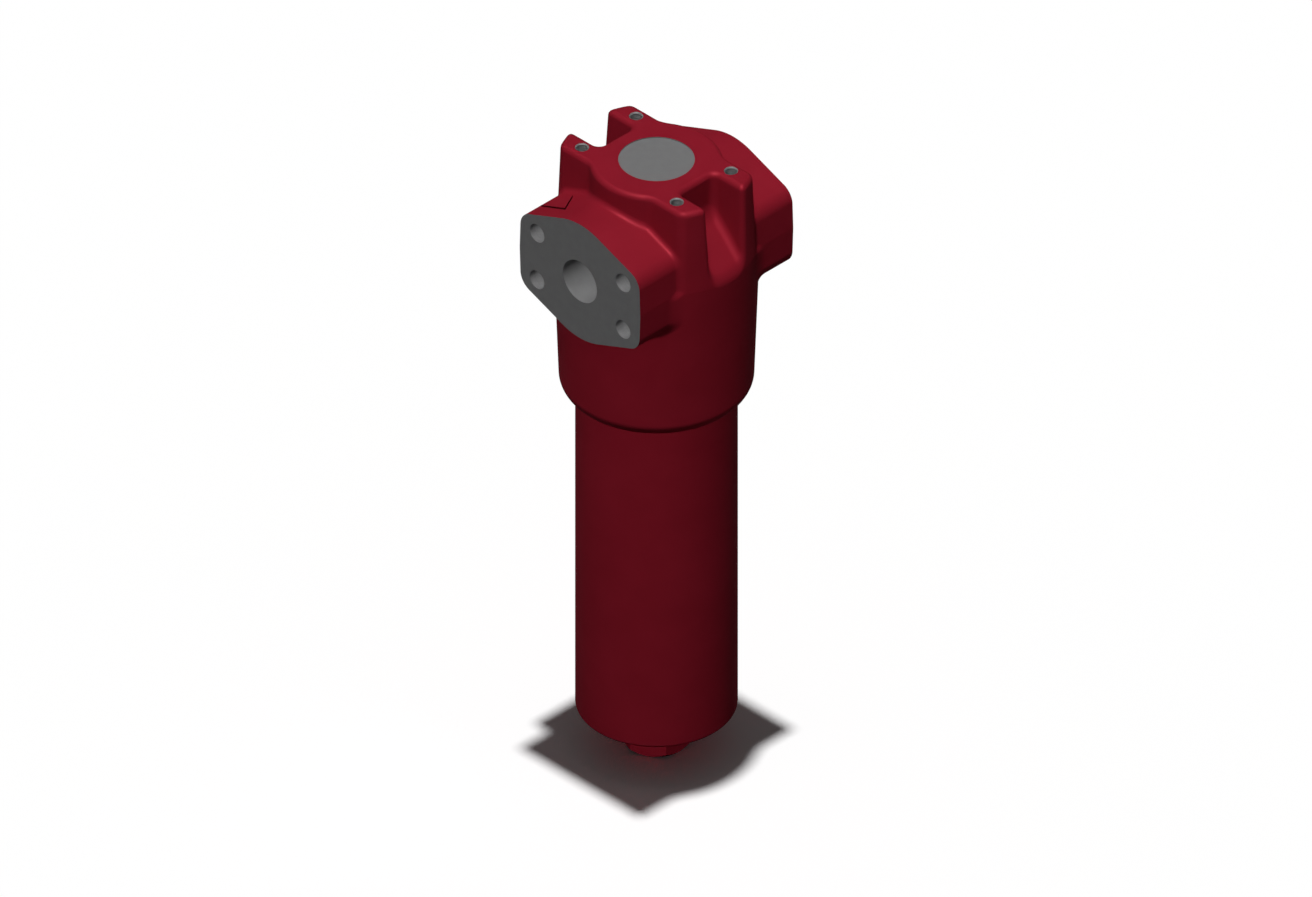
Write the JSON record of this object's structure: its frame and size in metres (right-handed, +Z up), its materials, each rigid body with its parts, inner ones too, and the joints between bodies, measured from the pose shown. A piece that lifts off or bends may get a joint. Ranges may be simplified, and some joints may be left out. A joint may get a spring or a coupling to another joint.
{
  "type": "hydraulic pressure filter",
  "caption": "Inline high-pressure oil filter: cast head with two bolted flange ports and mounting ears, over a screw-in bowl that holds a pleated element.",
  "frame": {"origin": "centre of the four mounting holes, on the machined top plane of the head", "axes": "+Z up along the filter axis, away from the bowl; +X along the flow, from the inlet flange to the outlet flange; Y across"},
  "size_m": [0.0904, 0.0871, 0.2965],
  "materials": {
    "head_paint": "satin red enamel on a casting, machined faces bare",
    "bowl_paint": "satin red enamel on turned steel",
    "turned_steel": "turned",
    "spring_steel": "drawn wire",
    "plated_cap": "zinc plated sheet",
    "wire_mesh": "fine wire mesh",
    "filter_medium": "glass fibre fleece",
    "bonding_resin": "cast epoxy",
    "seal_rubber": "matte black",
    "backup_plastic": "plain white"
  },
  "bodies": {
    "head": {"filter_head": "head_paint", "element_spigot": "turned_steel", "bypass_seat": "turned_steel", "bypass_seat_seal": "seal_rubber", "bypass_spring": "spring_steel", "bypass_circlip": "spring_steel", "element_top_cap": "plated_cap", "element_bottom_cap": "plated_cap", "element_core_tube": "plated_cap", "element_inner_mesh": "wire_mesh", "element_media": "filter_medium", "element_outer_mesh": "wire_mesh", "element_seam_clip": "plated_cap", "element_top_resin": "bonding_resin", "element_bottom_resin": "bonding_resin", "element_o_ring": "seal_rubber"},
    "valve": {"bypass_poppet": "turned_steel"},
    "bowl_seals": {"bowl_o_ring": "seal_rubber", "bowl_backup_ring": "backup_plastic"},
    "bowl": {"filter_bowl": "bowl_paint"}
  },
  "joints": [
    {"name": "bypass_lift", "type": "slide", "parent": "head", "child": "valve", "axis": [0, 0, 1], "range_m": [0, 0.003], "stiffness_N_per_m": 300, "springref_m": -0.001, "deforming": ["bypass_spring"]},
    {"name": "bowl_travel", "type": "slide", "parent": "head", "child": "bowl_seals", "axis": [0, 0, -1], "range_m": [0, 0.022]},
    {"name": "bowl_turn", "type": "hinge", "parent": "bowl_seals", "child": "bowl", "pos_m": [0, 0, -0.1], "axis": [0, 0, -1], "range_deg": [0, 3960]}
  ],
  "couplings": [
    {"joint": "bowl_travel", "follows": "bowl_turn", "m_per_rad": 0.0003183}
  ]
}
